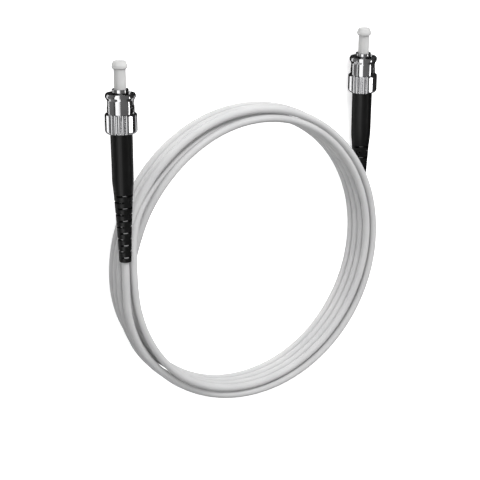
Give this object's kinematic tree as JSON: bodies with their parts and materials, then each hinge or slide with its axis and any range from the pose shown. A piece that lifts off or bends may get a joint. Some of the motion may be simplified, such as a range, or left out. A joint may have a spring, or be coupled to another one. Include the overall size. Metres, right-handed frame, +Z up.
{
  "type": "fibre patch cord",
  "caption": "Coiled round fibre optic patch cord with a capped ST bayonet connector and a slotted boot on each end.",
  "frame": {"origin": "on the floor under the coil's resting plane, midway between the two connectors", "axes": "+Y the way both connectors point, +X from connector A to connector B, +Z up, along the coil's axis"},
  "size_m": [0.107, 0.1237, 0.0167],
  "materials": {
    "plated": "bright nickel plate",
    "boot": "matte black",
    "cap": "milky, slightly clear",
    "jacket": "matte white-grey",
    "buffer": "matte",
    "zirconia": "polished",
    "steel": "satin",
    "spring_steel": "drawn wire"
  },
  "bodies": {
    "cord": {"boot_a": "boot", "crimp_sleeve_a": "steel", "backpost_a": "plated", "barrel_a": "plated", "ferrule_a": "zirconia", "clip_ring_a": "steel", "nut_spring_a": "spring_steel", "fibre_buffer_a": "buffer", "cable_end_a": "jacket", "boot_b": "boot", "crimp_sleeve_b": "steel", "backpost_b": "plated", "barrel_b": "plated", "ferrule_b": "zirconia", "clip_ring_b": "steel", "nut_spring_b": "spring_steel", "fibre_buffer_b": "buffer", "cable_end_b": "jacket", "cable_lead_a": "jacket", "cable_lead_b": "jacket", "cable_coil": "jacket"},
    "washer_a": {"thrust_washer_a": "steel"},
    "nut_a": {"coupling_nut_a": "plated"},
    "cap_a": {"dust_cap_a": "cap"},
    "washer_b": {"thrust_washer_b": "steel"},
    "nut_b": {"coupling_nut_b": "plated"},
    "cap_b": {"dust_cap_b": "cap"}
  },
  "joints": [
    {"name": "nut_slide_a", "type": "slide", "parent": "cord", "child": "washer_a", "axis": [0.0279, 0.9996, 0], "range_m": [0, 0.002], "stiffness_N_per_m": 2000, "springref_m": -0.001, "deforming": ["nut_spring_a"]},
    {"name": "nut_spin_a", "type": "hinge", "parent": "washer_a", "child": "nut_a", "pos_m": [-0.0485, 0.01248, 0.01175], "axis": [0.0279, 0.9996, 0], "continuous": true},
    {"name": "cap_slide_a", "type": "slide", "parent": "cord", "child": "cap_a", "axis": [0.0279, 0.9996, 0], "range_m": [0, 0.012]},
    {"name": "nut_slide_b", "type": "slide", "parent": "cord", "child": "washer_b", "axis": [-0.0157, 0.9973, 0.0715], "range_m": [0, 0.002], "stiffness_N_per_m": 2000, "springref_m": -0.001, "deforming": ["nut_spring_b"]},
    {"name": "nut_spin_b", "type": "hinge", "parent": "washer_b", "child": "nut_b", "pos_m": [0.04853, 0.01238, 0.00512], "axis": [-0.0157, 0.9973, 0.0715], "continuous": true},
    {"name": "cap_slide_b", "type": "slide", "parent": "cord", "child": "cap_b", "axis": [-0.0157, 0.9973, 0.0715], "range_m": [0, 0.012]}
  ]
}
